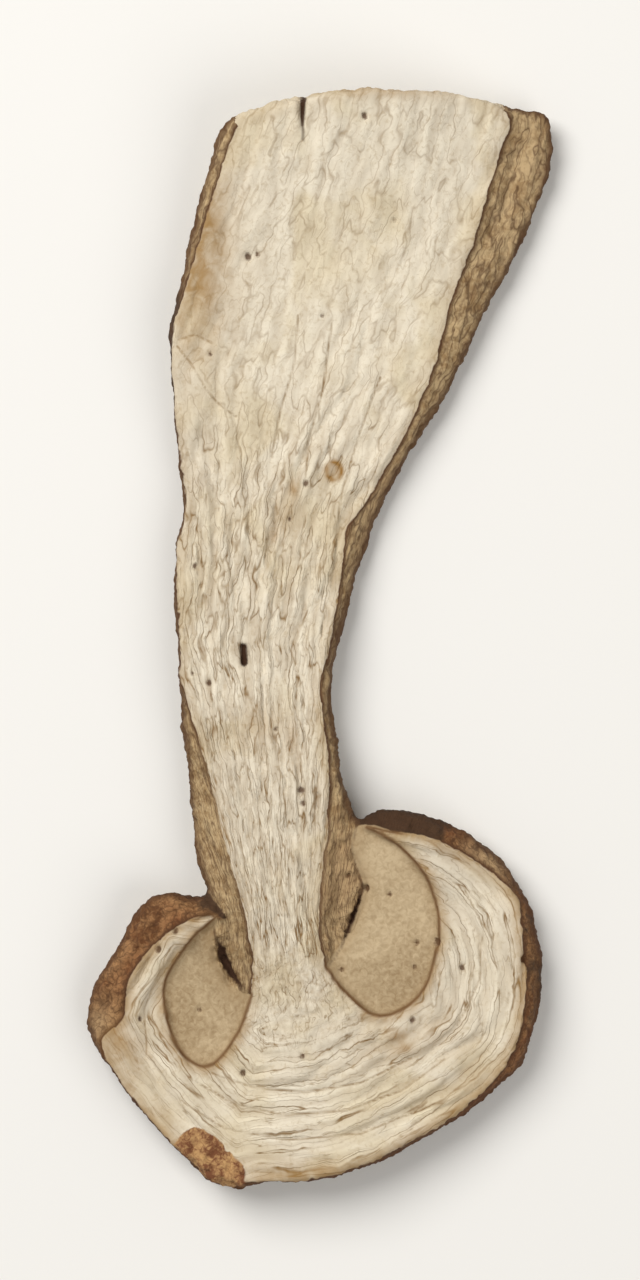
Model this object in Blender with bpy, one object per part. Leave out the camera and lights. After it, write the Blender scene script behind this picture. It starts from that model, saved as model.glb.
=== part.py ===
"""A dried porcini slice: one lengthwise cut through stem and cap, lying on a cut face.

Metres, +Z up. The stem's base points to +Y, the cap to -Y, and the camera-side cut face looks up.
The origin is at the middle of the bounding box, on the surface that the slice lies on.
"""

import math

import bmesh
import bpy
import numpy as np
from mathutils import Vector, noise

MM = 0.001

# Driving dimensions, in millimetres.
STEM_THICKNESS = 2.5
CAP_THICKNESS = 3.6
BASE_THICKNESS = 2.1
TUBE_SINK = 0.75
CRACK_DEPTH = 3.2  # for each millimetre of a crack's half width
RIM_TOP_SHARE = 0.46  # where the skin's widest line lies, as a share of the thickness
RIM_LOW_SHARE = 0.26
WRINKLE_DEPTH = 0.5
WRINKLE_PITCH = 2.0
GRID = 0.36
TRIANGLES = 11500

# The skin's widest line, clockwise from the left corner of the stem's base.
SKIN = [
    (-7.0, 38.0), (-4.3, 39.2), (1.4, 40.4), (8.1, 40.6), (14.2, 39.5), (16.8, 38.8),
    (17.1, 35.5), (15.4, 30.5), (12.6, 25.1), (10.0, 19.5), (6.7, 14.0), (4.7, 10.4),
    (3.3, 6.6), (2.0, 2.3), (0.8, -3.0), (1.4, -8.2), (2.0, -11.5), (2.8, -13.3),
    (4.3, -12.5), (7.4, -12.7), (11.8, -14.9), (15.1, -18.7), (16.4, -24.2), (15.6, -29.9),
    (12.9, -33.3), (8.5, -36.4), (2.0, -39.4), (-4.3, -40.1), (-6.2, -40.5), (-9.3, -39.0),
    (-14.1, -33.8), (-17.1, -28.8), (-16.7, -25.5), (-15.0, -22.6), (-13.3, -19.6), (-11.0, -18.6),
    (-8.4, -18.7), (-9.3, -15.1), (-9.8, -9.7), (-10.3, -5.1), (-10.4, 0.1), (-10.8, 4.4),
    (-10.4, 8.0), (-10.2, 11.6), (-11.1, 21.0), (-10.2, 27.1), (-8.5, 33.8),
]

# The pale cut flesh: the base, down the stem's right edge, round the right tubes, round
# the cap, round the left tubes and up the stem's left edge.
FLESH = [
    (-5.9, 38.0), (-4.5, 38.7), (1.4, 40.1), (8.1, 40.3), (13.8, 39.0), (12.9, 34.9),
    (11.5, 30.1), (9.6, 24.9), (8.5, 20.5), (6.1, 14.9), (3.5, 10.5), (2.0, 8.2),
    (1.5, 4.5), (0.6, -1.0), (0.0, -3.6), (0.5, -7.7), (0.7, -11.4), (0.3, -15.8),
    (-0.1, -21.0), (0.5, -24.0), (2.2, -26.2), (4.4, -27.7), (7.3, -26.2), (8.8, -21.8),
    (8.0, -17.7), (5.5, -14.8), (3.4, -13.7), (5.0, -14.0), (8.2, -14.5), (11.6, -16.3),
    (14.3, -18.6), (14.8, -20.5), (15.1, -26.8), (13.5, -31.4), (9.6, -35.1), (3.1, -38.6),
    (-3.4, -39.8), (-7.6, -39.3), (-12.1, -35.8), (-16.1, -30.1), (-14.5, -27.9), (-13.9, -24.6),
    (-10.7, -21.1), (-7.6, -20.2), (-9.3, -21.8), (-11.4, -25.1), (-11.1, -28.6), (-9.6, -31.0),
    (-7.8, -31.2), (-5.8, -28.4), (-4.9, -24.8), (-5.4, -20.8), (-6.8, -15.5), (-8.2, -9.7),
    (-9.7, -4.9), (-10.2, -2.0), (-10.2, 1.8), (-10.6, 4.4), (-10.2, 7.5), (-9.9, 11.6),
    (-10.7, 17.5), (-10.8, 22.5), (-9.5, 27.1), (-7.5, 33.7),
]

# The two cut tube layers, which run on a little under the flesh beside them.
TUBES_LEFT = [
    (-7.6, -20.3), (-9.3, -21.0), (-11.9, -25.1), (-11.6, -29.2), (-8.8, -32.1), (-5.8, -29.7),
    (-4.8, -26.6), (-6.3, -25.7), (-7.1, -24.6), (-7.7, -23.2), (-7.9, -21.6),
]
TUBES_RIGHT = [
    (3.1, -13.5), (6.4, -14.7), (9.0, -19.0), (9.1, -24.0), (7.0, -27.3), (4.2, -28.4),
    (1.4, -25.9), (0.5, -24.2), (2.1, -21.4), (3.2, -18.3), (2.3, -15.4),
]

# The slits where each tube layer has shrunk away from the stem: x, y and half width.
CRACK_LEFT = [
    (-7.9, -20.4, 0.15), (-7.6, -22.0, 0.42), (-7.1, -23.5, 0.50), (-6.6, -24.7, 0.34), (-5.6, -25.9, 0.1),
]
CRACK_RIGHT = [
    (2.8, -13.4, 0.22), (2.3, -15.5, 0.16), (3.2, -18.3, 0.24), (2.3, -20.3, 0.36), (1.5, -22.7, 0.26),
    (0.5, -24.3, 0.12),
]

# The stem's two edges at some heights: y, left x, right x. Its fibres run between them.
STEM_ROWS = [
    (-27, -5.0, 1.0), (-20, -5.6, -0.1), (-10, -8.2, 0.6), (0, -10.2, 0.9), (10, -10.0, 3.2),
    (20, -10.8, 8.3), (30, -8.5, 11.5), (41, -5.0, 14.0),
]
STEM_MEAN_HALF_WIDTH = 6.0
CAP_CENTRE = (0.0, -21.0)
CAP_RADIUS = 15.0

# How the slice has curled in drying. Each bump is x, y, reach in x, reach in y and lift.
CURL_BUMPS = [
    (-2.0, 45.0, 26.0, 17.0, 4.9),  # the base's end lifts
    (14.0, 38.0, 7.0, 10.0, -1.6),  # and its right corner droops again
    (-4.0, -6.0, 14.0, 12.0, 1.3),  # the stem arches between its two rests
    (8.0, -12.0, 8.0, 6.0, 2.1),  # the right margin of the cap turns up
    (-12.5, -18.5, 6.0, 5.5, 1.7),  # and the left one
    (0.0, -43.0, 16.0, 6.5, 1.5),  # the crown's edge
    (0.0, -27.0, 4.5, 9.0, 0.6),  # the cap is hollow below its middle
    (17.5, -25.0, 3.5, 9.0, 0.8),
    (-19.0, -28.0, 4.0, 8.0, 0.7),
    (-11.0, 21.0, 4.5, 7.0, 0.7),  # the stem's left swelling
]
REST_SINK = 0.12  # the low spots were pressed flat in drying by this much
REST_LEVEL = 0.02
RESTS = [(-2.0, 13.0, 4.5), (-9.0, -35.0, 3.5), (9.5, -29.0, 4.0)]  # x, y and reach
REST_BULGE = 0.35

FLESH_COLOUR = (0.66, 0.55, 0.38, 1.0)


def clear_scene():
    for old in list(bpy.data.objects):
        bpy.data.objects.remove(old, do_unlink=True)


def ramp(value, low, high):
    """0 below low, 1 above high, and smooth between them."""
    share = np.clip((value - low) / (high - low), 0.0, 1.0)
    return share * share * (3.0 - 2.0 * share)


def rounded(points, steps=6):
    """A closed smooth curve through the points, as an array of short chords."""
    knots = np.array(points, float)
    before, after, beyond = (np.roll(knots, turn, axis=0) for turn in (1, -1, -2))
    curve = []
    for share in np.arange(steps) / steps:
        curve.append(
            0.5
            * (
                2 * knots
                + (after - before) * share
                + (2 * before - 5 * knots + 4 * after - beyond) * share**2
                + (3 * knots - before - 3 * after + beyond) * share**3
            )
        )
    return np.stack(curve, axis=1).reshape(-1, knots.shape[1])


def nearest_on_chain(places, chain, closed):
    """The distance from each place to a chain of chords, and the chain's own values there."""
    starts = chain if closed else chain[:-1]
    ends = np.roll(chain, -1, axis=0) if closed else chain[1:]
    best = np.full(len(places), np.inf)
    values = np.zeros((len(places), chain.shape[1]))
    for start, end in zip(starts, ends):
        run = (end - start)[:2]
        share = np.clip((places - start[:2]) @ run / max(run @ run, 1e-12), 0.0, 1.0)
        spot = start + share[:, None] * (end - start)
        gap = np.hypot(*(places - spot[:, :2]).T)
        closer = gap < best
        best[closer] = gap[closer]
        values[closer] = spot[closer]
    return best, values


def depth_inside(places, outline):
    """The distance to a closed outline, positive inside it."""
    gap, _ = nearest_on_chain(places, outline, closed=True)
    x, y = places.T
    within = np.zeros(len(places), bool)
    for (x0, y0), (x1, y1) in zip(outline, np.roll(outline, -1, axis=0)):
        if y0 != y1:
            crosses = (y0 > y) != (y1 > y)
            within ^= crosses & (x < (x1 - x0) * (y - y0) / (y1 - y0) + x0)
    return np.where(within, gap, -gap)


def reshaped(mesh, kind, **settings):
    """A new mesh: the given one as a modifier of that kind leaves it."""
    holder = bpy.data.objects.new("holder", mesh)
    bpy.context.scene.collection.objects.link(holder)
    modifier = holder.modifiers.new(kind, kind)
    for name, value in settings.items():
        setattr(modifier, name, value)
    graph = bpy.context.evaluated_depsgraph_get()
    result = bpy.data.meshes.new_from_object(holder.evaluated_get(graph))
    bpy.data.objects.remove(holder, do_unlink=True)
    return result


def flat_slab(outline, thickness):
    """The outline's slab, with its faces made an even grid by a voxel remesh."""
    shape = bmesh.new()
    rim = [shape.verts.new((x * MM, y * MM, 0.0)) for x, y in outline]
    sheet = shape.faces.new(rim)
    wall = bmesh.ops.extrude_face_region(shape, geom=[sheet])["geom"]
    lifted = [item for item in wall if isinstance(item, bmesh.types.BMVert)]
    bmesh.ops.translate(shape, verts=lifted, vec=(0.0, 0.0, thickness * MM))
    bmesh.ops.triangulate(shape, faces=shape.faces[:])
    bmesh.ops.recalc_face_normals(shape, faces=shape.faces[:])
    mesh = bpy.data.meshes.new("slab")
    shape.to_mesh(mesh)
    shape.free()
    return reshaped(mesh, "REMESH", mode="VOXEL", voxel_size=GRID * MM)


def places_of(mesh):
    """The mesh's vertices, in millimetres."""
    places = np.empty(len(mesh.vertices) * 3, np.float32)
    mesh.vertices.foreach_get("co", places)
    return places.reshape(-1, 3).astype(float) / MM


def set_places(mesh, places):
    mesh.vertices.foreach_set("co", (places * MM).astype(np.float32).ravel())
    mesh.update()


def noise_at(*coordinates):
    return np.array([noise.noise(Vector(place)) for place in zip(*coordinates)])


def bumps_at(x, y, bumps):
    total = np.zeros(len(x))
    for centre_x, centre_y, reach_x, reach_y, lift in bumps:
        total += lift * np.exp(
            -(((x - centre_x) / reach_x) ** 2) - ((y - centre_y) / reach_y) ** 2
        )
    return total


def wrinkles(x, y, skin_depth, face):
    """Drying wrinkles, 0 in a furrow and 1 on a fold: along the stem, and round the cap."""
    rows = np.array(STEM_ROWS, float)
    left, right = (np.interp(y, rows[:, 0], rows[:, side]) for side in (1, 2))
    across = (2 * x - left - right) / (right - left)
    stem = noise_at(
        across * STEM_MEAN_HALF_WIDTH / WRINKLE_PITCH * 1.6,
        y / WRINKLE_PITCH * 0.28,
        np.full(len(x), 3.0 + face),
    )
    angle = np.arctan2(x - CAP_CENTRE[0], CAP_CENTRE[1] - y)
    cap = noise_at(
        skin_depth / WRINKLE_PITCH * 1.5,
        angle * CAP_RADIUS / WRINKLE_PITCH * 0.3,
        np.full(len(x), 8.0 + face),
    )
    in_cap = np.maximum(ramp(-y, 24.0, 29.0), ramp(np.abs(across), 1.1, 1.6) * ramp(-y, 12.0, 16.0))
    return np.clip(np.abs(stem * (1 - in_cap) + cap * in_cap) * 2.6, 0.0, 1.0)


def surfaces(x, y, skin, flesh, tubes, cracks):
    """The heights of the upper and the lower surface above each place, in millimetres."""
    places = np.stack([x, y], axis=1)
    skin_depth = np.maximum(depth_inside(places, skin), 0.0)
    flesh_depth = depth_inside(places, flesh)
    in_tubes = np.zeros(len(x))
    for outline in tubes:
        in_tubes = np.maximum(in_tubes, ramp(depth_inside(places, outline), -0.2, 0.4))
    in_tubes *= 1 - ramp(flesh_depth, -0.4, 0.2)
    in_cap = ramp(-y, 10.0, 24.0)
    thickness = STEM_THICKNESS + (CAP_THICKNESS - STEM_THICKNESS) * in_cap
    thickness -= (STEM_THICKNESS - BASE_THICKNESS) * ramp(y, 18.0, 36.0)

    past_flesh = np.maximum(-flesh_depth, 0.0) * (1 - in_tubes)
    share = past_flesh / np.maximum(past_flesh + skin_depth, 1e-6)
    shoulder = (1 - RIM_TOP_SHARE) * thickness * (0.65 * share + 0.35 * share**3)
    flank = np.maximum(shoulder, np.minimum(past_flesh * 0.75, 1.2) * (1 - share))
    slit = np.zeros(len(x))
    for crack in cracks:
        gap, values = nearest_on_chain(places, crack, closed=False)
        half_width = values[:, 2]
        slit = np.maximum(slit, CRACK_DEPTH * half_width * np.exp(-((gap / half_width) ** 2)))

    edge = ramp(skin_depth, 0.0, 1.2)
    folds = WRINKLE_DEPTH * (wrinkles(x, y, skin_depth, 0.0) - 0.6) * edge * (1 - in_tubes)
    under_folds = WRINKLE_DEPTH * (wrinkles(x, y, skin_depth, 40.0) - 0.4) * edge * (1 - in_tubes)
    rests = bumps_at(x, y, [(rest_x, rest_y, reach, reach, 1.0) for rest_x, rest_y, reach in RESTS])
    under_folds *= 1 - ramp(rests, 0.15, 0.6)
    rounding = RIM_LOW_SHARE * thickness
    turned = np.clip(1 - skin_depth / rounding, 0.0, 1.0)
    curl = bumps_at(x, y, CURL_BUMPS)
    upper = curl + thickness - flank - TUBE_SINK * in_tubes - slit + folds
    lower = curl - REST_SINK + rounding * (1 - np.sqrt(1 - turned**2)) - under_folds
    lower += 0.6 * TUBE_SINK * in_tubes + 0.2 * slit - REST_BULGE * rests
    return upper, np.maximum(lower, 0.0)


def slice_mesh():
    skin = rounded(SKIN)
    flesh = rounded(FLESH)
    tubes = [rounded(outline) for outline in (TUBES_LEFT, TUBES_RIGHT)]
    cracks = [np.array(crack, float) for crack in (CRACK_LEFT, CRACK_RIGHT)]
    mesh = flat_slab(skin, STEM_THICKNESS)
    places = places_of(mesh)
    x, y = places[:, 0], places[:, 1]
    upper, lower = surfaces(x, y, skin, flesh, tubes, cracks)
    share = np.clip(places[:, 2] / STEM_THICKNESS, 0.0, 1.0)
    places[:, 2] = lower + share * (upper - lower)
    set_places(mesh, places)
    mesh = reshaped(mesh, "REMESH", mode="VOXEL", voxel_size=GRID * MM)
    mesh = reshaped(mesh, "SMOOTH", factor=0.5, iterations=2)
    mesh = reshaped(mesh, "DECIMATE", ratio=TRIANGLES / (2 * len(mesh.polygons)))
    places = places_of(mesh)
    places[:, :2] -= (places[:, :2].min(axis=0) + places[:, :2].max(axis=0)) / 2
    places[places[:, 2] < REST_LEVEL, 2] = 0.0
    set_places(mesh, places)
    return mesh


def dried_material():
    material = bpy.data.materials.new("dried_mushroom")
    material.use_nodes = True
    shader = material.node_tree.nodes["Principled BSDF"]
    shader.inputs["Base Color"].default_value = FLESH_COLOUR
    shader.inputs["Roughness"].default_value = 0.85
    shader.inputs["Metallic"].default_value = 0.0
    return material


def porcini_slice():
    mesh = slice_mesh()
    mesh.name = "porcini_slice"
    mesh.materials.clear()
    mesh.materials.append(dried_material())
    part = bpy.data.objects.new("porcini_slice", mesh)
    bpy.context.scene.collection.objects.link(part)
    mesh.shade_smooth()
    mesh.set_sharp_from_angle(angle=math.radians(50))
    return part


clear_scene()
porcini_slice()
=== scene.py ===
"""A dried porcini slice on a pale table: flared stem, hooked cap and two sunken tube layers."""

import bmesh
import bpy
import numpy as np
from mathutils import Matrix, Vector, noise


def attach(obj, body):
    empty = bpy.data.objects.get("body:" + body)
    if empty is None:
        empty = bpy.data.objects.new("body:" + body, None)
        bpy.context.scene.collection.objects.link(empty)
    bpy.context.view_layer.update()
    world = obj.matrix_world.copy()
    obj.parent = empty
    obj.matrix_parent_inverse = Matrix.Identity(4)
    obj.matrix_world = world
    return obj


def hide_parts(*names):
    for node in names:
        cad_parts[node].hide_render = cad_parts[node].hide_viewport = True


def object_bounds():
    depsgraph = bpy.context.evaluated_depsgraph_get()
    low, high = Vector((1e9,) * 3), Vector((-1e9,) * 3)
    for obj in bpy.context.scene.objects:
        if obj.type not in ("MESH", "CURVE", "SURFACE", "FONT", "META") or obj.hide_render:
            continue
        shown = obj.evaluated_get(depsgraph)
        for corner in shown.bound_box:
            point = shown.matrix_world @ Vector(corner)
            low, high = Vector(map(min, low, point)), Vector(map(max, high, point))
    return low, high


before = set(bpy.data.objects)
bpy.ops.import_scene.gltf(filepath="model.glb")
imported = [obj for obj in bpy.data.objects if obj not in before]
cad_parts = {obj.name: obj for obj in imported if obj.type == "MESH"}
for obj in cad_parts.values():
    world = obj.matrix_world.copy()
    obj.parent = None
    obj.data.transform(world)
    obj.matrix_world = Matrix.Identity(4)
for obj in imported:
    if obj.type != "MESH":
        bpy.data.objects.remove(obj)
cad_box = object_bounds()

# The camera. The slice was photographed square on, so the camera looks straight down on it,
# with the stem's base at the top of the frame. The lens is long, so that the curled ends
# keep their true size.
SLICE_SHARE_OF_FRAME = 0.85
LENS_MM = 135.0
SENSOR_MM = 36.0

slice_length = cad_box[1].y - cad_box[0].y
camera_data = bpy.data.cameras.new("camera above the slice")
camera_data.lens = LENS_MM
camera_data.sensor_width = SENSOR_MM
camera_data.clip_start = 0.01
camera = bpy.data.objects.new("camera above the slice", camera_data)
camera.location = (0.0, 0.0, slice_length / SLICE_SHARE_OF_FRAME * LENS_MM / SENSOR_MM)
bpy.context.scene.collection.objects.link(camera)
bpy.context.scene.camera = camera

# The slice. A porcini was cut lengthwise with a knife into slices some 5 mm thick, which
# shrank, wrinkled and curled in dry air. It is one piece of mushroom: pale flesh, two cut
# tube layers under the cap, and the brown skin round the rim. Its sizes are in millimetres.
MM = 0.001
FAR = 9.0
STEM_THICKNESS = 2.5
CAP_THICKNESS = 3.6
BASE_THICKNESS = 2.1
TUBE_SINK = 0.75
SLIT_DEPTH = 3.4  # for each millimetre of a slit's half width
RIM_TOP_SHARE = 0.46
RIM_LOW_SHARE = 0.26
FOLD_DEPTH = 0.5
FOLD_PITCH = 2.0
FURROW_DEPTH = 0.3
CREASE_DEPTH = 0.08
HOLE_DEPTH = 0.25
SKIN_BELOW = 0.45  # how far the skin laps under the rim
TOUCHING = 0.02  # what lies lower than this rests on the table
UNDERSIDE = 60.0  # where the noise for the underside starts
GRID = 0.19
SHARE_OF_FACES_KEPT = 0.65

# The skin's widest line, clockwise from the left corner of the stem's base.
SKIN = [
    (-7.0, 38.0), (-4.3, 39.2), (1.4, 40.4), (8.1, 40.6), (14.2, 39.5), (16.8, 38.8),
    (17.1, 35.5), (15.4, 30.5), (12.6, 25.1), (10.0, 19.5), (6.7, 14.0), (4.7, 10.4),
    (3.3, 6.6), (2.0, 2.3), (0.8, -3.0), (1.4, -8.2), (2.0, -11.5), (2.8, -13.3),
    (4.3, -12.5), (7.4, -12.7), (11.8, -14.9), (15.1, -18.7), (16.4, -24.2), (15.6, -29.9),
    (12.9, -33.3), (8.5, -36.4), (2.0, -39.4), (-4.3, -40.1), (-6.2, -40.5), (-9.3, -39.0),
    (-14.1, -33.8), (-17.1, -28.8), (-16.7, -25.5), (-15.0, -22.6), (-13.3, -19.6), (-11.0, -18.6),
    (-8.4, -18.7), (-9.3, -15.1), (-9.8, -9.7), (-10.3, -5.1), (-10.4, 0.1), (-10.8, 4.4),
    (-10.4, 8.0), (-10.2, 11.6), (-11.1, 21.0), (-10.2, 27.1), (-8.5, 33.8),
]

# The pale cut flesh: the base, down the stem's right edge, round the right tubes, round
# the cap, round the left tubes and up the stem's left edge.
FLESH = [
    (-5.9, 38.0), (-4.5, 38.7), (1.4, 40.1), (8.1, 40.3), (13.8, 39.0), (12.9, 34.9),
    (11.5, 30.1), (9.6, 24.9), (8.5, 20.5), (6.1, 14.9), (3.5, 10.5), (2.0, 8.2),
    (1.5, 4.5), (0.6, -1.0), (0.0, -3.6), (0.5, -7.7), (0.7, -11.4), (0.3, -15.8),
    (-0.1, -21.0), (0.5, -24.0), (2.2, -26.2), (4.4, -27.7), (7.3, -26.2), (8.8, -21.8),
    (8.0, -17.7), (5.5, -14.8), (3.4, -13.7), (5.0, -14.0), (8.2, -14.5), (11.6, -16.3),
    (14.3, -18.6), (14.8, -20.5), (15.1, -26.8), (13.5, -31.4), (9.6, -35.1), (3.1, -38.6),
    (-3.4, -39.8), (-7.6, -39.3), (-12.1, -35.8), (-16.1, -30.1), (-14.5, -27.9), (-13.9, -24.6),
    (-10.7, -21.1), (-7.6, -20.2), (-9.3, -21.8), (-11.4, -25.1), (-11.1, -28.6), (-9.6, -31.0),
    (-7.8, -31.2), (-5.8, -28.4), (-4.9, -24.8), (-5.4, -20.8), (-6.8, -15.5), (-8.2, -9.7),
    (-9.7, -4.9), (-10.2, -2.0), (-10.2, 1.8), (-10.6, 4.4), (-10.2, 7.5), (-9.9, 11.6),
    (-10.7, 17.5), (-10.8, 22.5), (-9.5, 27.1), (-7.5, 33.7),
]

# The two cut tube layers, which run on a little under the flesh beside them.
TUBES_LEFT = [
    (-7.6, -20.3), (-9.3, -21.0), (-11.9, -25.1), (-11.6, -29.2), (-8.8, -32.1), (-5.8, -29.7),
    (-4.8, -26.6), (-6.3, -25.7), (-7.1, -24.6), (-7.7, -23.2), (-7.9, -21.6),
]
TUBES_RIGHT = [
    (3.1, -13.5), (6.4, -14.7), (9.0, -19.0), (9.1, -24.0), (7.0, -27.3), (4.2, -28.4),
    (1.4, -25.9), (0.5, -24.2), (2.1, -21.4), (3.2, -18.3), (2.3, -15.4),
]

# Slits and cracks: x, y and half width. The first two are where each tube layer has shrunk
# away from the stem, then comes a split in the base's edge and a short slot in the stem.
SLITS = [
    [
        (-7.9, -20.8, 0.06), (-7.6, -22.0, 0.12), (-7.1, -23.4, 0.31), (-6.5, -24.7, 0.25),
        (-5.6, -25.9, 0.1),
    ],
    [
        (2.8, -13.4, 0.1), (2.3, -15.5, 0.09), (3.2, -18.3, 0.13), (2.5, -20.2, 0.24),
        (1.6, -22.6, 0.11), (0.5, -24.3, 0.08),
    ],
    [(-1.2, 40.2, 0.24), (-1.3, 38.6, 0.2), (-1.25, 36.8, 0.12)],
    [(-5.65, -0.4, 0.24), (-5.6, -1.6, 0.28)],
]

# Long shallow creases that stand out: two at the bulge of the stem's left edge, three in the
# stem and five that follow the cap's rim.
CREASES = [
    [(-10.6, 21.8), (-9.6, 20.6), (-8.4, 18.6), (-7.4, 17.4), (-6.2, 16.6)],
    [(-10.4, 22.2), (-9.2, 22.6), (-8.0, 22.0)],
    [(-1.6, 24.0), (-1.9, 20.5), (-2.9, 17.0), (-3.6, 13.5)],
    [(0.9, 23.5), (0.2, 18.5), (-0.9, 14.5), (-1.1, 12.0)],
    [(4.5, 19.5), (3.0, 15.5), (1.6, 11.0), (1.2, 7.0)],
    [(-9.0, -32.6), (-6.4, -34.2), (-2.5, -35.0), (2.0, -34.6), (6.0, -33.2), (9.2, -30.8)],
    [(-10.4, -33.8), (-7.0, -36.0), (-2.5, -36.8), (3.0, -36.3), (8.0, -34.4)],
    [(-8.0, -31.9), (-4.8, -33.0), (-1.0, -33.3), (3.0, -32.6), (6.8, -30.8)],
    [(10.2, -28.4), (11.8, -25.0), (12.0, -21.0), (10.4, -17.8)],
    [(-12.8, -30.6), (-12.9, -27.2), (-11.6, -24.0)],
]

# A patch of cap skin that turned over on to the crown's cut edge.
PATCH = [
    (-10.6, -37.7), (-10.2, -36.4), (-9.3, -35.9), (-8.2, -36.2), (-7.3, -36.8), (-6.5, -37.9),
    (-5.4, -39.0), (-5.6, -40.1), (-6.7, -40.3), (-8.0, -39.8), (-9.3, -38.8),
]

# The stem's two edges at some heights: y, left x, right x. Its fibres run between them.
STEM_ROWS = [
    (-27, -5.0, 1.0), (-20, -5.6, -0.1), (-10, -8.2, 0.6), (0, -10.2, 0.9), (10, -10.0, 3.2),
    (20, -10.8, 8.3), (30, -8.5, 11.5), (41, -5.0, 14.0),
]
STEM_MEAN_HALF_WIDTH = 6.0
CAP_CENTRE = (0.0, -21.0)
CAP_RADIUS = 15.0

# How the slice has curled in drying. Each bump is x, y, reach in x, reach in y and lift.
CURL_BUMPS = [
    (-2.0, 45.0, 26.0, 17.0, 4.9),
    (14.0, 38.0, 7.0, 10.0, -1.6),
    (-4.0, -6.0, 14.0, 12.0, 1.3),
    (8.0, -12.0, 8.0, 6.0, 2.1),
    (-12.5, -18.5, 6.0, 5.5, 1.7),
    (0.0, -43.0, 16.0, 6.5, 1.5),
    (0.0, -27.0, 4.5, 9.0, 0.6),
    (17.5, -25.0, 3.5, 9.0, 0.8),
    (-19.0, -28.0, 4.0, 8.0, 0.7),
    (-11.0, 21.0, 4.5, 7.0, 0.7),
]
REST_SINK = 0.12
RESTS = [(-2.0, 13.0, 4.5), (-9.0, -35.0, 3.5), (9.5, -29.0, 4.0)]
REST_BULGE = 0.35

# Where insects and drying left small dark holes: x, y and radius.
HOLES = [
    (3.3, 38.5, 0.20), (-5.3, 28.3, 0.22), (-4.6, 28.5, 0.14), (-8.1, 21.2, 0.14), (-1.05, 11.65, 0.22),
    (-9.2, 5.5, 0.16), (-8.25, -3.1, 0.18), (-1.4, -11.0, 0.19), (-5.7, -31.9, 0.20), (-1.3, -30.6, 0.16),
    (6.9, -28.0, 0.20), (10.5, -24.1, 0.20), (8.6, -22.2, 0.22), (15.1, -23.5, 0.20), (-13.2, -27.9, 0.16),
    (-11.9, -22.7, 0.20), (-10.6, -21.3, 0.18), (5.2, -18.7, 0.14), (7.2, -22.3, 0.14), (7.0, -24.1, 0.14),
    (1.6, -24.3, 0.14), (3.4, -18.3, 0.18), (2.1, -17.4, 0.14), (-8.9, -27.3, 0.15), (-9.4, -2.4, 0.11),
    (-2.2, 9.0, 0.12), (5.5, 31.0, 0.11), (0.2, 24.0, 0.11), (-1.3, -12.0, 0.14), (-3.2, -6.5, 0.12),
]

# Where juice dried brown: x, y, reach in x, reach in y and strength.
STAINS = [
    (-1.9, 11.1, 0.35, 0.8, 0.7), (-3.5, 7.8, 0.4, 0.8, 0.5),
    (-2.6, 9.4, 1.0, 1.6, 0.35), (5.7, -29.2, 0.6, 0.4, 0.9), (6.4, -30.1, 0.9, 0.4, 0.5),
    (-4.2, -6.5, 1.6, 1.6, 0.3), (-2.0, -7.6, 0.5, 1.6, 0.35), (-15.2, -29.6, 0.9, 1.1, 0.5),
]

# A round spot with a brown rim, on the stem: x, y and radius.
RING_SPOT = (1.05, 12.5, 0.6)

# Where the skin dried lighter, or darker if the strength is below 0, and where the flesh
# beside it took on its colour: x, y, reach in x, reach in y and strength.
SKIN_TONES = [
    (6.0, -13.0, 3.6, 2.2, -1.5), (12.7, -15.9, 2.4, 2.4, 0.9), (-16.4, -28.6, 1.4, 1.6, 0.7),
    (16.2, -25.0, 1.6, 8.0, -0.35), (1.6, -17.0, 1.6, 4.4, 1.0), (4.4, 9.0, 1.6, 6.0, 0.9),
    (-8.2, -19.4, 1.3, 0.9, -0.5), (15.5, 34.0, 3.0, 7.0, 0.2), (-10.9, 22.0, 1.2, 8.0, -0.6),
]
BLUSHES = [
    (-9.2, 29.5, 2.4, 8.0, 1.1), (-14.6, -31.0, 1.6, 3.0, 0.6), (-12.0, -36.0, 1.4, 2.0, 0.5),
    (2.0, -39.6, 9.0, 1.1, 0.9), (4.0, 40.4, 9.0, 0.7, 0.6), (12.6, -33.6, 2.4, 2.4, 0.6),
    (6.0, -29.5, 3.5, 1.8, 0.3),
]

# Where the skin meets the flesh without a dark line: x, y, reach in x, reach in y, strength.
SOFT_EDGES = [(-7.2, -14.5, 2.2, 6.5, 0.9), (1.8, -17.5, 1.6, 4.0, 0.8)]


def ramp(value, low, high):
    """0 below low, 1 above high, and smooth between them."""
    share = np.clip((value - low) / (high - low), 0.0, 1.0)
    return share * share * (3.0 - 2.0 * share)


def rounded(points, steps=6):
    """A closed smooth curve through the points, as an array of short chords."""
    knots = np.array(points, float)
    before, after, beyond = (np.roll(knots, turn, axis=0) for turn in (1, -1, -2))
    curve = []
    for share in np.arange(steps) / steps:
        curve.append(
            0.5
            * (
                2 * knots
                + (after - before) * share
                + (2 * before - 5 * knots + 4 * after - beyond) * share**2
                + (3 * knots - before - 3 * after + beyond) * share**3
            )
        )
    return np.stack(curve, axis=1).reshape(-1, knots.shape[1])


def nearest_on_chain(places, chain, closed):
    """The distance from each place to a chain of chords, and the chain's own values there."""
    starts = chain if closed else chain[:-1]
    ends = np.roll(chain, -1, axis=0) if closed else chain[1:]
    best = np.full(len(places), np.inf)
    values = np.zeros((len(places), chain.shape[1]))
    for start, end in zip(starts, ends):
        run = (end - start)[:2]
        share = np.clip((places - start[:2]) @ run / max(run @ run, 1e-12), 0.0, 1.0)
        spot = start + share[:, None] * (end - start)
        gap = np.hypot(*(places - spot[:, :2]).T)
        closer = gap < best
        best[closer] = gap[closer]
        values[closer] = spot[closer]
    return best, values


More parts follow.
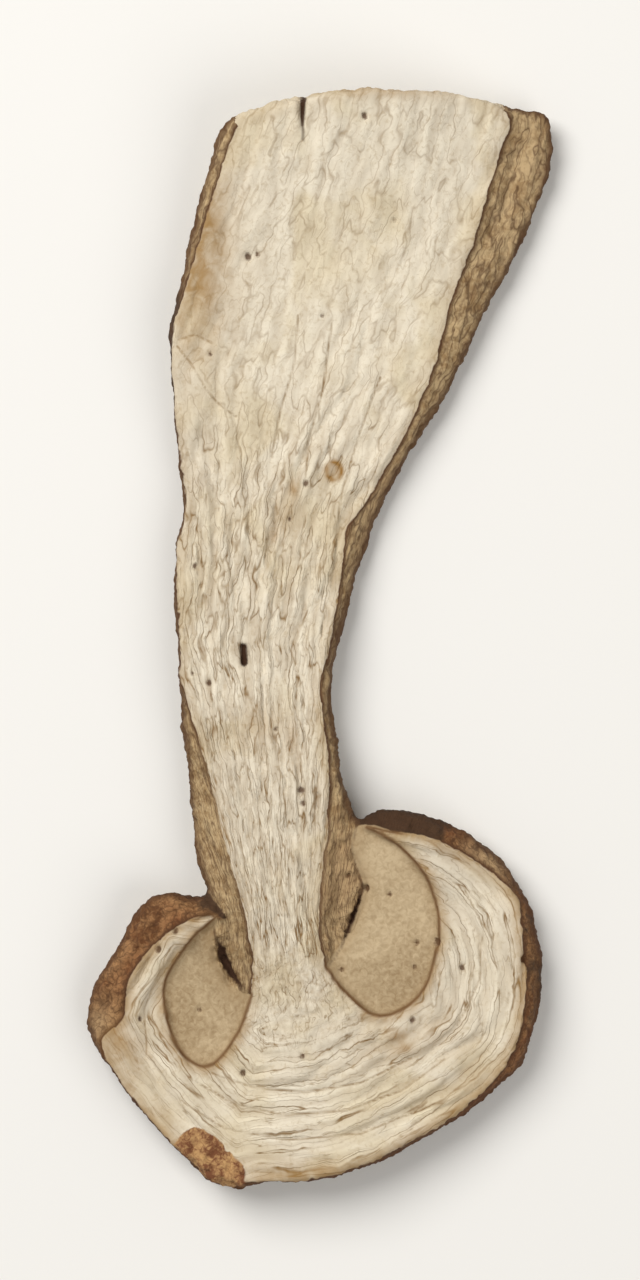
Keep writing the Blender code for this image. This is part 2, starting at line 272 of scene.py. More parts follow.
def depth_inside(places, outline):
    """The distance to a closed outline, positive inside it."""
    gap, _ = nearest_on_chain(places, outline, closed=True)
    x, y = places.T
    within = np.zeros(len(places), bool)
    for (x0, y0), (x1, y1) in zip(outline, np.roll(outline, -1, axis=0)):
        if y0 != y1:
            crosses = (y0 > y) != (y1 > y)
            within ^= crosses & (x < (x1 - x0) * (y - y0) / (y1 - y0) + x0)
    return np.where(within, gap, -gap)


def noise_at(u, v, w):
    """Smooth noise at each place, about -0.5 to 0.5, with cells one unit wide."""
    w = np.broadcast_to(w, np.shape(u))
    return np.array([noise.noise(Vector(place)) for place in zip(u, v, w)])


def cells_at(u, v, w):
    """A net of cells one unit wide: 0 on the net's lines and towards 1 inside a cell."""
    w = np.broadcast_to(w, np.shape(u))
    gaps = np.array([noise.voronoi(Vector(place))[0][:2] for place in zip(u, v, w)])
    return np.clip((gaps[:, 1] - gaps[:, 0]) * 1.6, 0.0, 1.0)


def creases_at(u, v, w, sharpness=2.6):
    """Long wavy creases, 0 in a crease and 1 on the fold beside it."""
    return np.clip(np.abs(noise_at(u, v, w)) * sharpness, 0.0, 1.0)


def bumps_at(x, y, bumps):
    """The sum of some round bumps at each place."""
    total = np.zeros(len(x))
    for centre_x, centre_y, reach_x, reach_y, lift in bumps:
        total += lift * np.exp(
            -(((x - centre_x) / reach_x) ** 2) - ((y - centre_y) / reach_y) ** 2
        )
    return total


def reshaped(mesh, kind, group=(), **settings):
    """A new mesh: the given one as a modifier of that kind leaves it, or leaves that group."""
    holder = bpy.data.objects.new("holder", mesh)
    bpy.context.scene.collection.objects.link(holder)
    modifier = holder.modifiers.new(kind, kind)
    for name, value in settings.items():
        setattr(modifier, name, value)
    if group:
        holder.vertex_groups.new(name="group").add(group, 1.0, "REPLACE")
        modifier.vertex_group = "group"
    graph = bpy.context.evaluated_depsgraph_get()
    result = bpy.data.meshes.new_from_object(holder.evaluated_get(graph))
    bpy.data.objects.remove(holder, do_unlink=True)
    return result


def places_of(mesh):
    """The mesh's vertices, in millimetres."""
    places = np.empty(len(mesh.vertices) * 3, np.float32)
    mesh.vertices.foreach_get("co", places)
    return places.reshape(-1, 3).astype(float) / MM


def normals_of(mesh):
    """The way each vertex faces."""
    normals = np.empty(len(mesh.vertices) * 3, np.float32)
    mesh.vertex_normals.foreach_get("vector", normals)
    return normals.reshape(-1, 3).astype(float)


def set_places(mesh, places):
    """Moves the mesh's vertices to places in millimetres."""
    mesh.vertices.foreach_set("co", (places * MM).astype(np.float32).ravel())
    mesh.update()


def lie_of_the_land(x, y):
    """What each place is part of: distances to the outlines, and the two ways fibres run."""
    places = np.stack([x, y], axis=1)
    rows = np.array(STEM_ROWS, float)
    left, right = (np.interp(y, rows[:, 0], rows[:, side]) for side in (1, 2))
    across = (2 * x - left - right) / (right - left)
    land = {
        "skin_depth": np.maximum(depth_inside(places, rounded(SKIN)), 0.0),
        "flesh": depth_inside(places, rounded(FLESH)),
        "tubes": np.maximum(
            depth_inside(places, rounded(TUBES_LEFT)), depth_inside(places, rounded(TUBES_RIGHT))
        ),
        "patch": depth_inside(places, rounded(PATCH)),
        "across": across,
        "fibre": across * STEM_MEAN_HALF_WIDTH,
        "turn": np.arctan2(x - CAP_CENTRE[0], CAP_CENTRE[1] - y) * CAP_RADIUS,
    }
    land["in_cap"] = np.maximum(
        ramp(-y, 24.0, 29.0), ramp(np.abs(across), 1.1, 1.6) * ramp(-y, 12.0, 16.0)
    )
    land["at_junction"] = np.exp(-((((x + 1.8) / 5.0) ** 2 + ((y + 26.6) / 4.2) ** 2) ** 2))
    land["in_tubes"] = ramp(land["tubes"], -0.2, 0.4) * (1 - ramp(land["flesh"], -0.4, 0.2))
    slit = np.zeros(len(x))
    for chain in SLITS:
        gap, values = nearest_on_chain(places, np.array(chain, float), closed=False)
        half_width = values[:, 2]
        slit = np.maximum(slit, half_width * np.exp(-((gap / half_width) ** 4)))
    land["slit"] = slit
    land["crease"] = np.full(len(x), FAR)
    for chain in CREASES:
        gap, _ = nearest_on_chain(places, np.array(chain, float), closed=False)
        land["crease"] = np.minimum(land["crease"], gap)
    return land


def big_folds(x, y, land, face):
    """Folds about two millimetres apart, 0 in a furrow and 1 on a fold."""
    stem = noise_at(land["fibre"] / FOLD_PITCH * 1.6, y / FOLD_PITCH * 0.28, 3.0 + face)
    cap = noise_at(
        land["skin_depth"] / FOLD_PITCH * 1.5, land["turn"] / FOLD_PITCH * 0.3, 8.0 + face
    )
    share = land["in_cap"]
    folds = np.clip(np.abs(stem * (1 - share) + cap * share) * 2.6, 0.0, 1.0)
    calm = np.maximum(0.7 * land["at_junction"], 0.55 * ramp(y, 12.0, 20.0))
    return folds + (0.6 - folds) * calm


def surfaces(x, y, land):
    """The heights of the upper and the lower surface above each place."""
    skin_depth, flesh_depth, in_tubes = land["skin_depth"], land["flesh"], land["in_tubes"]
    thickness = STEM_THICKNESS + (CAP_THICKNESS - STEM_THICKNESS) * ramp(-y, 10.0, 24.0)
    thickness -= (STEM_THICKNESS - BASE_THICKNESS) * ramp(y, 18.0, 36.0)
    past_flesh = np.maximum(-flesh_depth, 0.0) * (1 - in_tubes)
    share = past_flesh / np.maximum(past_flesh + skin_depth, 1e-6)
    shoulder = (1 - RIM_TOP_SHARE) * thickness * (0.65 * share + 0.35 * share**3)
    flank = np.maximum(shoulder, np.minimum(past_flesh * 0.75, 1.2) * (1 - share))
    edge = ramp(skin_depth, 0.0, 1.2)
    folds = FOLD_DEPTH * (big_folds(x, y, land, 0.0) - 0.6) * edge * (1 - in_tubes)
    under_folds = FOLD_DEPTH * (big_folds(x, y, land, 40.0) - 0.4) * edge * (1 - in_tubes)
    rests = bumps_at(x, y, [(rest_x, rest_y, reach, reach, 1.0) for rest_x, rest_y, reach in RESTS])
    under_folds *= 1 - ramp(rests, 0.15, 0.6)
    rounding = RIM_LOW_SHARE * thickness
    turned = np.clip(1 - skin_depth / rounding, 0.0, 1.0)
    curl = bumps_at(x, y, CURL_BUMPS)
    slit = SLIT_DEPTH * land["slit"]
    upper = curl + thickness - flank - TUBE_SINK * in_tubes - slit + folds
    lower = curl - REST_SINK + rounding * (1 - np.sqrt(1 - turned**2)) - under_folds
    lower += 0.6 * TUBE_SINK * in_tubes + 0.2 * slit - REST_BULGE * rests
    return upper, np.maximum(lower, 0.0)


def fine_relief(x, y, z, land, seed):
    """What the drying did at the scale of a fibre: height along the surface, and furrows."""
    fibre, depth, turn = land["fibre"], land["skin_depth"], land["turn"]
    wander = 0.5 * noise_at(fibre * 0.6, y * 0.25, seed + 1.0)
    fibre = fibre + wander
    long_creases = creases_at(fibre * 1.6, y * 0.17, seed + 2.0, 3.4)
    stem_net = cells_at(fibre * 1.5, y * 0.34, seed + 4.0)
    stem = (0.25 + 0.75 * long_creases**0.7) * (0.35 + 0.65 * stem_net**0.7)

    ring = depth + 0.6 * noise_at(turn * 0.3, depth * 0.3, seed + 5.0)
    rings = creases_at(ring * 1.2, turn * 0.08, seed + 6.0, 3.6)
    cap_net = cells_at(ring * 1.2, turn * 0.17, seed + 8.0)
    cap = (0.3 + 0.7 * rings**0.6) * (0.4 + 0.6 * cap_net**0.6)

    crackle = cells_at(x * 1.15 + 1.5 * wander, y * 1.35, seed + 9.0) ** 0.6
    at_junction = land["at_junction"]
    flesh = stem * (1 - land["in_cap"]) + cap * land["in_cap"]
    flesh = flesh * (1 - at_junction) + (0.25 * flesh + 0.75 * crackle) * at_junction
    depth_of_furrow = FURROW_DEPTH - 0.19 * ramp(y, 6.0, 20.0) - 0.14 * land["in_cap"]
    height = depth_of_furrow * (flesh - 0.5)
    height -= CREASE_DEPTH * np.exp(-((land["crease"] / 0.25) ** 2))

    skin_grain = noise_at(x * 1.6, y * 1.6, z * 1.6 + seed)
    skin_grain += 0.6 * noise_at(x * 3.2, y * 3.2, z * 3.2)
    on_skin = (1 - ramp(land["flesh"], -0.25, 0.15)) * (1 - land["in_tubes"])
    along = y * (1.3 - 0.8 * ramp(y, -12.0, -6.0))
    puckers = cells_at(x * 1.5 + wander, along, z * 1.3 + seed) ** 0.7
    height = height * (1 - on_skin) + on_skin * (0.14 * skin_grain + 0.16 * (puckers - 0.5))
    on_patch = ramp(land["patch"], -0.05, 0.3) * ramp(depth, 0.0, 0.8)
    height += on_patch * (0.12 + 0.3 * skin_grain)
    tube_grain = noise_at(x * 2.4, y * 1.2, seed + 11.0)
    height = height * (1 - land["in_tubes"]) + 0.05 * tube_grain * land["in_tubes"]
    groove = np.exp(-((land["tubes"] / 0.18) ** 2)) * (1 - ramp(np.abs(land["flesh"]), 0.3, 0.6))
    height -= 0.1 * groove
    furrow = (1 - flesh) * (1 - on_skin) * (1 - land["in_tubes"]) + on_skin * (1 - puckers) * 0.7
    return height, furrow


# Its mesh starts as a slab cut to the outline. The slab is remeshed finely, and its two faces
# are lifted to their heights.
outline = rounded(SKIN)
slab = bmesh.new()
rim = [slab.verts.new((x * MM, y * MM, 0.0)) for x, y in outline]
sheet = slab.faces.new(rim)
walls = bmesh.ops.extrude_face_region(slab, geom=[sheet])["geom"]
bmesh.ops.translate(
    slab,
    verts=[item for item in walls if isinstance(item, bmesh.types.BMVert)],
    vec=(0.0, 0.0, STEM_THICKNESS * MM),
)
bmesh.ops.triangulate(slab, faces=slab.faces[:])
bmesh.ops.recalc_face_normals(slab, faces=slab.faces[:])
mesh = bpy.data.meshes.new("slab")
slab.to_mesh(mesh)
slab.free()
mesh = reshaped(mesh, "REMESH", mode="VOXEL", voxel_size=GRID * MM)

places = places_of(mesh)
upper, lower = surfaces(places[:, 0], places[:, 1], lie_of_the_land(places[:, 0], places[:, 1]))
share = np.clip(places[:, 2] / STEM_THICKNESS, 0.0, 1.0)
places[:, 2] = lower + share * (upper - lower)
set_places(mesh, places)
mesh = reshaped(mesh, "REMESH", mode="VOXEL", voxel_size=GRID * MM)
mesh = reshaped(mesh, "SMOOTH", factor=0.5, iterations=3)
below = np.flatnonzero(normals_of(mesh)[:, 2] < -0.2).tolist()
mesh = reshaped(mesh, "DECIMATE", below, ratio=SHARE_OF_FACES_KEPT)

# The furrows, puckers and holes are pushed in along the surface.
places = places_of(mesh)
x, y, z = places.T
land = lie_of_the_land(x, y)
tube_edge = np.minimum(land["tubes"], -land["flesh"])
land_below = {**land, "flesh": np.minimum(land["skin_depth"] - SKIN_BELOW, -tube_edge)}
normals = normals_of(mesh)
facing_up = ramp(normals[:, 2], -0.3, 0.3)
over, over_furrow = fine_relief(x, y, z, land, 0.0)
beneath, beneath_furrow = fine_relief(x, y, z, land_below, UNDERSIDE)
height = over * facing_up + beneath * (1 - facing_up)
furrow = over_furrow * facing_up + beneath_furrow * (1 - facing_up)
on_wall = 1 - ramp(np.abs(normals[:, 2]), 0.3, 0.8)
height += on_wall * 0.22 * noise_at(x * 0.45, y * 0.45, z * 0.3 + 90.0)
hole = np.full(len(x), FAR)
for hole_x, hole_y, radius in HOLES:
    hole = np.minimum(hole, np.hypot(x - hole_x, (y - hole_y) * 0.8) - radius)
hole += FAR * (1 - facing_up)
height -= HOLE_DEPTH * (1 - ramp(hole, -0.1, 0.15))
places += normals * height[:, None]
touching = places[:, 2] < TOUCHING
places[touching, 2] = 0.0
mid = (places[:, :2].min(axis=0) + places[:, :2].max(axis=0)) / 2
places[:, :2] -= mid
set_places(mesh, places)

# What the material reads: the distances to the edges of flesh, tubes, skin and patch, how
# strong each mark is, and the three ways that patterns run.
base_cut = ramp(y, 37.0, 38.2) * ramp(x, -6.6, -5.8) * (1 - ramp(x, 13.2, 13.9))
flesh_edge = land["flesh"] * facing_up + land_below["flesh"] * (1 - facing_up)
flesh_edge = np.where(base_cut > 0.5, np.maximum(flesh_edge, 0.5), flesh_edge)
on_left_edge = ramp(-land["across"], 0.6, 0.9) * ramp(y, -6.0, -2.0) * (1 - ramp(y, 26.0, 34.0))
flesh_edge += 0.1 * on_left_edge + 0.12 * ramp(-y, 27.0, 31.0) * ramp(x, -4.0, 0.0) * facing_up
cap_zone = ramp(-y, 11.5, 12.5) * ramp(x, 2.6, 3.4)
past_hook = (-2.4 * (x + 8.5) - 2.0 * (y + 18.5)) / 3.1
by_left_tubes = ramp(-y, 20.3, 20.7) * ramp(x, -8.3, -7.9)
left_lobe = ramp(past_hook, -0.1, 0.15) * ramp(-y, 16.0, 17.0) * ramp(-x, 5.0, 6.0) * (1 - by_left_tubes)
cap_zone = np.maximum(cap_zone, left_lobe)
cap_zone = np.maximum(cap_zone, ramp(-y, 27.0, 29.0))
hook_shade = np.exp(-(((past_hook - 0.1) / 0.3) ** 2)) * left_lobe * ramp(x, -9.2, -8.2)
skin_tone = bumps_at(x, y, SKIN_TONES) - 0.9 * hook_shade
ring_gap = np.hypot(x - RING_SPOT[0], (y - RING_SPOT[1]) * 0.85) - RING_SPOT[2]
ring = np.exp(-((ring_gap / 0.16) ** 2)) * 0.8 + 0.6 * ramp(-ring_gap, -0.1, 0.2)
stain = np.clip(np.maximum(bumps_at(x, y, STAINS), ring), 0.0, 1.0) * facing_up
smooth = 1 - 0.14 * ramp(y, -25.0, -17.0) * (1 - land["in_cap"]) - 0.36 * ramp(y, 9.0, 20.0)
for name, values in {
    "flesh": flesh_edge,
    "tubes": land["tubes"],
    "skin_depth": land["skin_depth"],
    "patch": land["patch"] * facing_up - 2.0 * (1 - facing_up),
    "slit": np.clip(land["slit"] * 8.0 - 0.4, 0.0, 1.0) * facing_up,
    "furrow": furrow,
    "hole": hole,
    "stain": stain,
    "cap": cap_zone,
    "in_cap": land["in_cap"],
    "at_junction": 0.7 * land["at_junction"],
    "smooth": smooth,
    "crease": land["crease"] + FAR * (1 - facing_up),
    "skin_tone": skin_tone,
    "blush": np.clip(bumps_at(x, y, BLUSHES), 0.0, 0.9),
    "soft_edge": np.clip(bumps_at(x, y, SOFT_EDGES), 0.0, 1.0) * facing_up,
}.items():
    mesh.attributes.new(name, "FLOAT", "POINT").data.foreach_set("value", values.astype(np.float32))
for name, values in {
    "along_stem": (land["fibre"], y, z),
    "round_cap": (land["skin_depth"], land["turn"], z),
    "in_place": (x, y, z),
}.items():
    spots = np.stack(values, axis=1).astype(np.float32).ravel()
    mesh.attributes.new(name, "FLOAT_VECTOR", "POINT").data.foreach_set("vector", spots)
mesh.shade_smooth()
mesh.name = "dried_slice"
dried_slice = bpy.data.objects.new("dried_slice", mesh)
bpy.context.scene.collection.objects.link(dried_slice)


def linear(code):
    """A colour written as an sRGB hex value, as the shader wants it."""
    parts = [int(code[at : at + 2], 16) / 255 for at in (1, 3, 5)]
    return (*(p / 12.92 if p <= 0.04045 else ((p + 0.055) / 1.055) ** 2.4 for p in parts), 1.0)


def add(tree, kind, sockets=None, out=0, **settings):
    """A new shader node with its settings, and each socket set or linked. Gives an output."""
    node = tree.nodes.new("ShaderNode" + kind)
    for name, value in settings.items():
        setattr(node, name, value)
    for name, value in (sockets or {}).items():
        if isinstance(value, bpy.types.NodeSocket):
            tree.links.new(value, node.inputs[name])
        else:
            node.inputs[name].default_value = value
    return node.outputs[out]


# Air-dried porcini: cut flesh that is pale on its folds and tan with painted shade in its furrows,
# grey-brown tubes, and a skin that dried to dark brown leather. All of it is matte and finely rough.
# The masks are distances in millimetres, kept on the mesh, so each edge is sharp.
dried = bpy.data.materials.new("air_dried_porcini")
dried.use_nodes = True
tree = dried.node_tree
shader = tree.nodes["Principled BSDF"]
spot = add(tree, "TexCoord", out="Object")
here = {
    name: add(tree, "Attribute", out="Fac", attribute_name=name)
    for name in (
        "flesh", "tubes", "skin_depth", "patch", "slit", "furrow", "hole", "stain", "cap", "in_cap",
        "at_junction", "smooth", "crease", "skin_tone", "blush", "soft_edge",
    )
}

# Noise at three real sizes: mottling, puckers and grain, in millimetres across.
cloud, pucker, grain = (
    add(tree, "TexNoise", {"Vector": spot, "Scale": 1 / (size * MM), "Detail": detail, "Distortion": 0.7})
    for size, detail in ((6.0, 2.0), (1.5, 4.0), (0.34, 2.0))
)
wobble = add(tree, "Math", {0: pucker, 1: 0.5}, operation="SUBTRACT")

# The nets of thin furrow lines: long wavy ones along the stem, longer ones round the cap,
# short ones where the two meet, puckers in the cap's skin and streaks in the stem's. Each
# has a name, the way it runs, a cell's size across, along and through in millimetres, how far
# it wanders, the lines' width, and how strong its cracks are.
nets = {}
fibres = {}
for name, source, cell, wander, width, cracks in (
    ("stem", "along_stem", (0.78, 4.2, 9.0), 0.34, 0.038, 0.2),
    ("cap", "round_cap", (1.0, 14.0, 9.0), 0.34, 0.024, 0.0),
    ("junction", "in_place", (0.75, 1.7, 9.0), 0.5, 0.035, 0.2),
    ("puckers", "in_place", (0.75, 0.9, 0.9), 0.4, 0.06, 0.25),
    ("streaks", "along_stem", (0.5, 3.6, 1.4), 0.3, 0.06, 0.0),
):
    run = add(tree, "Attribute", out="Vector", attribute_name=source)
    shake = add(tree, "TexNoise", {"Vector": run, "Scale": 0.7, "Detail": 2.0}, out="Color")
    shake = add(tree, "VectorMath", {0: shake, 1: (0.5, 0.5, 0.5)}, operation="SUBTRACT")
    shake = add(tree, "VectorMath", {0: shake, "Scale": 2.0 * wander}, operation="SCALE")
    run = add(tree, "VectorMath", {0: run, 1: shake}, operation="ADD")
    run = add(tree, "VectorMath", {0: run, 1: cell}, operation="DIVIDE")
    net = add(
        tree, "TexVoronoi", {"Vector": run, "Scale": 1.0}, out="Distance", feature="DISTANCE_TO_EDGE"
    )
    net = add(tree, "MapRange", {"Value": net, "From Min": 3 * width, "From Max": 0.02, "To Max": cracks})
    for pitch, strength in ((1.1, 1.0), (2.1, 0.6)):
        waves = add(tree, "TexNoise", {"Vector": run, "Scale": pitch, "Detail": 1.5, "Roughness": 0.5})
        waves = add(tree, "Math", {0: waves, 1: 0.5}, operation="SUBTRACT")
        waves = add(tree, "Math", {0: waves}, operation="ABSOLUTE")
        waves = add(
            tree, "MapRange", {"Value": waves, "From Min": width, "From Max": 0.0, "To Max": strength}
        )
        net = add(tree, "Math", {0: net, 1: waves}, operation="MAXIMUM")
    nets[name] = net
    fibres[name] = add(tree, "TexNoise", {"Vector": run, "Scale": 1.9, "Detail": 2.5})
lines = add(tree, "Mix", {0: here["in_cap"], 2: nets["stem"], 3: nets["cap"]})
lines = add(tree, "Mix", {0: here["at_junction"], 2: lines, 3: nets["junction"]})
fade = add(tree, "MapRange", {"Value": pucker, "From Min": 0.34, "From Max": 0.62, "To Min": 0.5})
lines = add(tree, "Math", {0: lines, 1: fade}, operation="MULTIPLY")
lines = add(tree, "Math", {0: lines, 1: here["smooth"]}, operation="MULTIPLY")
crease = add(tree, "MapRange", {"Value": here["crease"], "From Min": 0.16, "From Max": 0.02, "To Max": 0.8})
crease = add(tree, "Math", {0: crease, 1: fade}, operation="MULTIPLY")
lines = add(tree, "Math", {0: lines, 1: crease}, operation="MAXIMUM")
furrow_tan_and_shade = add(tree, "Math", {0: here["furrow"], 1: here["smooth"]}, operation="MULTIPLY")
furrow_tan_and_shade = add(tree, "Math", {0: furrow_tan_and_shade, 1: 0.3}, operation="MULTIPLY")
furrow_tan_and_shade = add(tree, "Math", {0: furrow_tan_and_shade, 1: lines}, operation="MAXIMUM")
ridges = add(tree, "Mix", {0: here["in_cap"], 2: fibres["stem"], 3: fibres["cap"]})
ridges = add(tree, "Mix", {0: here["at_junction"], 2: ridges, 3: fibres["junction"]})
valleys = add(tree, "MapRange", {"Value": ridges, "From Min": 0.6, "From Max": 0.34, "To Max": 0.36})
calm = add(tree, "MapRange", {"Value": here["in_cap"], "To Min": 1.0, "To Max": 0.55})
calm = add(tree, "Math", {0: calm, 1: here["smooth"]}, operation="MULTIPLY")
valleys = add(tree, "Math", {0: valleys, 1: calm}, operation="MULTIPLY")
furrow_tan_and_shade = add(tree, "Math", {0: furrow_tan_and_shade, 1: valleys}, operation="ADD", use_clamp=True)

# Flesh: pale on the folds, tan with painted shade in the furrows, in places darker, and browner by the
# skin.
tan_places = add(
    tree, "MapRange", {"Value": cloud, "From Min": 0.42, "From Max": 0.68}, interpolation_type="SMOOTHSTEP"
)
flesh = add(
    tree, "Mix", {0: tan_places, 6: linear("#E3D8C2"), 7: linear("#D9CBAE")}, out=2, data_type="RGBA"
)
# The dark tan here is partly the flesh's own colour in its furrows and partly painted shade in the furrows,
# creases and valleys between fibres.
flesh = add(tree, "Mix", {0: furrow_tan_and_shade, 6: flesh, 7: linear("#7E623D")}, out=2, data_type="RGBA")
specks = add(tree, "MapRange", {"Value": grain, "From Min": 0.52, "From Max": 0.75, "To Max": 0.35})
flesh = add(tree, "Mix", {0: specks, 6: flesh, 7: linear("#A08862")}, out=2, data_type="RGBA")
edge_wobble = add(tree, "Math", {0: wobble, 1: 0.5}, operation="MULTIPLY")
flesh_edge_here = add(tree, "Math", {0: here["flesh"], 1: edge_wobble}, operation="ADD")
near_skin = add(
    tree, "MapRange", {"Value": flesh_edge_here, "From Min": 1.2, "From Max": 0.0, "To Max": 0.75},
    interpolation_type="SMOOTHSTEP",
)
near_cap_skin = add(tree, "MapRange", {"Value": here["cap"], "To Min": 0.35})
near_skin = add(tree, "Math", {0: near_skin, 1: near_cap_skin}, operation="MULTIPLY")
blush = add(tree, "Math", {0: near_skin, 1: here["blush"]}, operation="MAXIMUM")
blotch = add(
    tree, "MapRange", {"Value": pucker, "From Min": 0.3, "From Max": 0.6}, interpolation_type="SMOOTHSTEP"
)
patchy = add(tree, "MapRange", {"Value": blotch, "To Min": 0.55})
blush = add(tree, "Math", {0: blush, 1: patchy}, operation="MULTIPLY")
flesh = add(tree, "Mix", {0: blush, 6: flesh, 7: linear("#94713E")}, out=2, data_type="RGBA")

# Tubes: dull grey-brown, finely grained, with painted shade that darkens them towards the groove round
# them.
tube_tone = add(tree, "Mix", {0: 0.55, 2: grain, 3: cloud})
tube_tone = add(tree, "MapRange", {"Value": tube_tone, "From Min": 0.36, "From Max": 0.64})
tubes = add(
    tree, "Mix", {0: tube_tone, 6: linear("#957D5B"), 7: linear("#BFA986")}, out=2, data_type="RGBA"
)
# Painted shade: the tubes darken over their outer 1.6 mm, as if the flesh beside them shaded them.
tube_rim_painted_shade = add(
    tree, "MapRange", {"Value": here["tubes"], "From Min": 1.6, "From Max": 0.0, "To Max": 0.45},
    interpolation_type="SMOOTHSTEP",
)
tubes = add(tree, "Mix", {0: tube_rim_painted_shade, 6: tubes, 7: linear("#8F744F")}, out=2, data_type="RGBA")

# Skin: tan leather on the stem, dark brown on the cap, with darker puckers and rims, and
# nearly black at the tips of the cap's hooks.
mottle = add(tree, "Mix", {0: 0.4, 2: pucker, 3: grain})
mottle = add(
    tree, "MapRange", {"Value": mottle, "From Min": 0.36, "From Max": 0.62},
    interpolation_type="SMOOTHSTEP",
)
stem_skin = add(
    tree, "Mix", {0: mottle, 6: linear("#8C704B"), 7: linear("#B69C74")}, out=2, data_type="RGBA"
)
cap_skin = add(
    tree, "Mix", {0: mottle, 6: linear("#5F3C1E"), 7: linear("#A0764C")}, out=2, data_type="RGBA"
)
redder = add(tree, "MapRange", {"Value": cloud, "From Min": 0.48, "From Max": 0.62, "To Max": 0.55})
cap_skin = add(tree, "Mix", {0: redder, 6: cap_skin, 7: linear("#74401F")}, out=2, data_type="RGBA")
skin = add(tree, "Mix", {0: here["cap"], 6: stem_skin, 7: cap_skin}, out=2, data_type="RGBA")
lighter = add(tree, "Math", {0: here["skin_tone"], 1: 0.0}, operation="MAXIMUM")
darker = add(tree, "Math", {0: wobble, 1: 1.4}, operation="MULTIPLY")
darker = add(tree, "Math", {0: darker, 1: here["skin_tone"]}, operation="SUBTRACT")
darker = add(tree, "MapRange", {"Value": darker, "From Min": 0.22, "From Max": 0.55, "To Max": 0.9})
skin = add(tree, "Mix", {0: lighter, 6: skin, 7: linear("#AC8F68")}, out=2, data_type="RGBA")
skin_lines = add(tree, "Mix", {0: here["cap"], 2: nets["streaks"], 3: nets["puckers"]})
skin_lines = add(tree, "Math", {0: skin_lines, 1: 0.75}, operation="MULTIPLY")
skin = add(tree, "Mix", {0: skin_lines, 6: skin, 7: linear("#4A2E18")}, out=2, data_type="RGBA")
rim_line = add(
    tree, "MapRange", {"Value": flesh_edge_here, "From Min": -0.35, "From Max": -0.08, "To Max": 0.95}
)
outer_line = add(
    tree, "MapRange", {"Value": here["skin_depth"], "From Min": 0.5, "From Max": 0.12, "To Max": 0.8}
)
hard_edge = add(tree, "MapRange", {"Value": here["soft_edge"], "To Min": 1.0, "To Max": 0.15})
rim_line = add(tree, "Math", {0: rim_line, 1: hard_edge}, operation="MULTIPLY")
rim_line = add(tree, "Math", {0: rim_line, 1: outer_line}, operation="MAXIMUM")
skin = add(tree, "Mix", {0: rim_line, 6: skin, 7: linear("#4D2F18")}, out=2, data_type="RGBA")
skin = add(tree, "Mix", {0: darker, 6: skin, 7: linear("#3D2918")}, out=2, data_type="RGBA")

# How they lie on the slice, from below up.
past_flesh = add(
    tree, "MapRange", {"Value": flesh_edge_here, "From Min": 0.04, "From Max": -0.06},
    interpolation_type="SMOOTHSTEP",
)
colour = add(tree, "Mix", {0: past_flesh, 6: flesh, 7: skin}, out=2, data_type="RGBA")
in_tubes = add(tree, "MapRange", {"Value": here["tubes"], "From Min": -0.04, "From Max": 0.06})
bare_tubes = add(tree, "MapRange", {"Value": here["flesh"], "From Min": 0.03, "From Max": -0.07})
in_tubes = add(tree, "Math", {0: in_tubes, 1: bare_tubes}, operation="MULTIPLY")
colour = add(tree, "Mix", {0: in_tubes, 6: colour, 7: tubes}, out=2, data_type="RGBA")
off_edge = add(tree, "Math", {0: here["flesh"]}, operation="ABSOLUTE")
groove = add(tree, "MapRange", {"Value": off_edge, "From Min": 0.2, "From Max": 0.04, "To Max": 0.85})
by_tubes = add(tree, "MapRange", {"Value": here["tubes"], "From Min": -0.5, "From Max": -0.1})
groove = add(tree, "Math", {0: groove, 1: by_tubes}, operation="MULTIPLY")
colour = add(tree, "Mix", {0: groove, 6: colour, 7: linear("#6F4F2E")}, out=2, data_type="RGBA")
stain = add(tree, "Math", {0: here["stain"], 1: patchy}, operation="MULTIPLY")
colour = add(tree, "Mix", {0: stain, 6: colour, 7: linear("#8C652B")}, out=2, data_type="RGBA")
patch_edge = add(tree, "Math", {0: here["patch"], 1: wobble}, operation="ADD")
on_patch = add(tree, "MapRange", {"Value": patch_edge, "From Min": -0.06, "From Max": 0.06})
patch_lines = add(tree, "Math", {0: nets["puckers"], 1: 0.5}, operation="MULTIPLY")
patch_tone = add(tree, "Math", {0: mottle, 1: patch_lines}, operation="SUBTRACT", use_clamp=True)
patch = add(
    tree, "Mix", {0: patch_tone, 6: linear("#70452A"), 7: linear("#B8905F")}, out=2, data_type="RGBA"
)
colour = add(tree, "Mix", {0: on_patch, 6: colour, 7: patch}, out=2, data_type="RGBA")
# Painted shade: the deep middle of each slit is coloured nearly black.
colour = add(tree, "Mix", {0: here["slit"], 6: colour, 7: linear("#38210F")}, out=2, data_type="RGBA")
# The dark brown in each hole is partly its own brown and partly painted shade for its depth.
hole_edge = add(tree, "MapRange", {"Value": grain, "To Min": -0.12, "To Max": 0.12})
hole_edge = add(tree, "Math", {0: here["hole"], 1: hole_edge}, operation="ADD")
in_hole = add(tree, "MapRange", {"Value": hole_edge, "From Min": 0.08, "From Max": -0.06, "To Max": 0.85})
colour = add(tree, "Mix", {0: in_hole, 6: colour, 7: linear("#4F3016")}, out=2, data_type="RGBA")
tree.links.new(colour, shader.inputs["Base Color"])

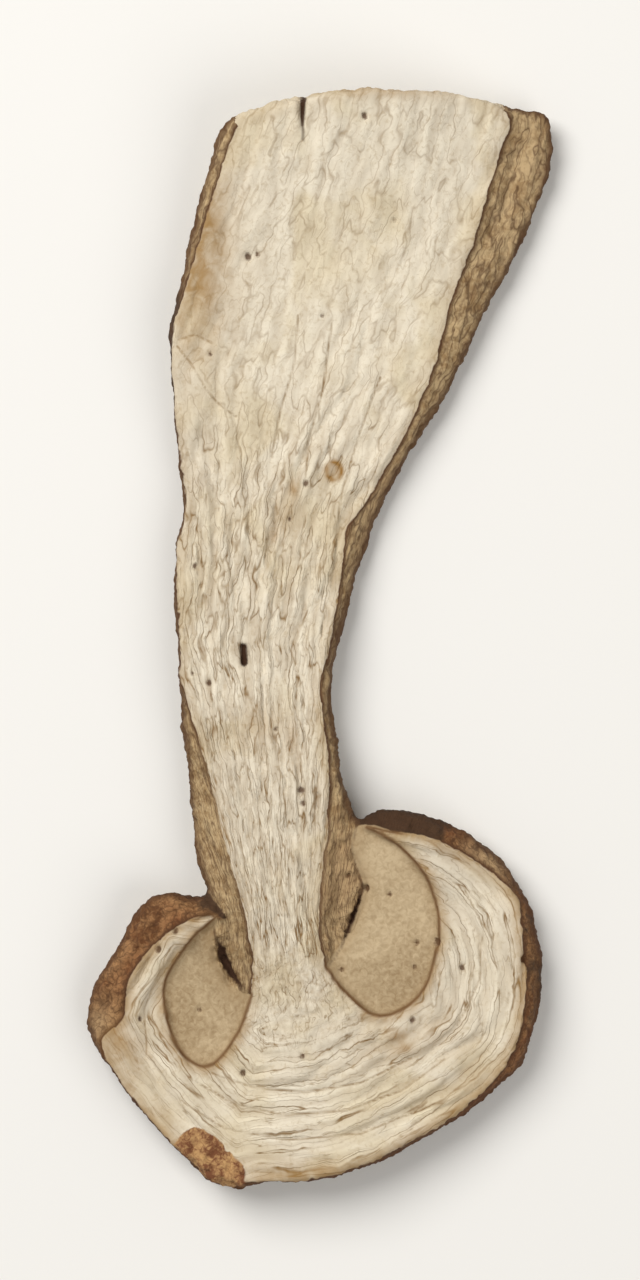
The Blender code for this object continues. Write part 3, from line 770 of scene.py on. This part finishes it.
# The dried surface scatters light, with a faint sheen. Fibres, lines and grain stand a tenth
# of a millimetre high.
shader.inputs["Roughness"].default_value = 0.88
shader.inputs["Specular IOR Level"].default_value = 0.3
dents = add(tree, "Math", {0: lines, 1: 0.8}, operation="MULTIPLY")
dents = add(tree, "Math", {0: ridges, 1: dents}, operation="SUBTRACT")
off_tubes = add(tree, "Math", {0: 1.0, 1: in_tubes}, operation="SUBTRACT")
dents = add(tree, "Math", {0: dents, 1: off_tubes}, operation="MULTIPLY")
dents = add(tree, "Math", {0: dents, 1: calm}, operation="MULTIPLY")
bumps = add(tree, "Math", {0: grain, 1: 0.35}, operation="MULTIPLY")
bumps = add(tree, "Math", {0: bumps, 1: dents}, operation="ADD")
normal = add(tree, "Bump", {"Height": bumps, "Strength": 0.8, "Distance": 0.1 * MM})
tree.links.new(normal, shader.inputs["Normal"])

mesh.materials.clear()
mesh.materials.append(dried)
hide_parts("porcini_slice")
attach(dried_slice, "root")

# The table: a plain pale board, matte, on which the slice's three low spots rest.
TABLE_HALF_WIDTH = 1.5
TABLE_GAP = 0.00002  # in metres, so that the flats and the board don't flicker

table_shape = bmesh.new()
bmesh.ops.create_grid(table_shape, x_segments=1, y_segments=1, size=TABLE_HALF_WIDTH)
table_mesh = bpy.data.meshes.new("table")
table_shape.to_mesh(table_mesh)
table_shape.free()
table = bpy.data.objects.new("table", table_mesh)
table_mesh.transform(((1, 0, 0, 0), (0, 1, 0, 0), (0, 0, 1, -TABLE_GAP), (0, 0, 0, 1)))
table_paint = bpy.data.materials.new("matte_white_paint")
table_paint.use_nodes = True
table_paint.node_tree.nodes["Principled BSDF"].inputs["Base Color"].default_value = linear("#E4E1DB")
table_paint.node_tree.nodes["Principled BSDF"].inputs["Roughness"].default_value = 0.9
table_mesh.materials.append(table_paint)
bpy.context.scene.collection.objects.link(table)

# The light: a large soft box up and to the left, a weaker one opposite, and a pale room.
# Each lamp has a name, a place and a width in metres, and its power in watts.
ROOM_STRENGTH = 0.32
for name, place, size, power in (
    ("soft box", (-0.3, 0.3, 0.5), 0.45, 4.1),
    ("fill", (0.4, -0.3, 0.5), 0.6, 1.8),
):
    lamp_data = bpy.data.lights.new(name, "AREA")
    lamp_data.shape = "DISK"
    lamp_data.size = size
    lamp_data.energy = power
    lamp = bpy.data.objects.new(name, lamp_data)
    lamp.location = place
    lamp.rotation_euler = (-Vector(place)).to_track_quat("-Z", "Y").to_euler()
    bpy.context.scene.collection.objects.link(lamp)
room = bpy.data.worlds.new("pale room")
room.use_nodes = True
room.node_tree.nodes["Background"].inputs["Color"].default_value = linear("#FFFFFF")
room.node_tree.nodes["Background"].inputs["Strength"].default_value = ROOM_STRENGTH
bpy.context.scene.world = room
bpy.context.scene.view_settings.view_transform = "Standard"
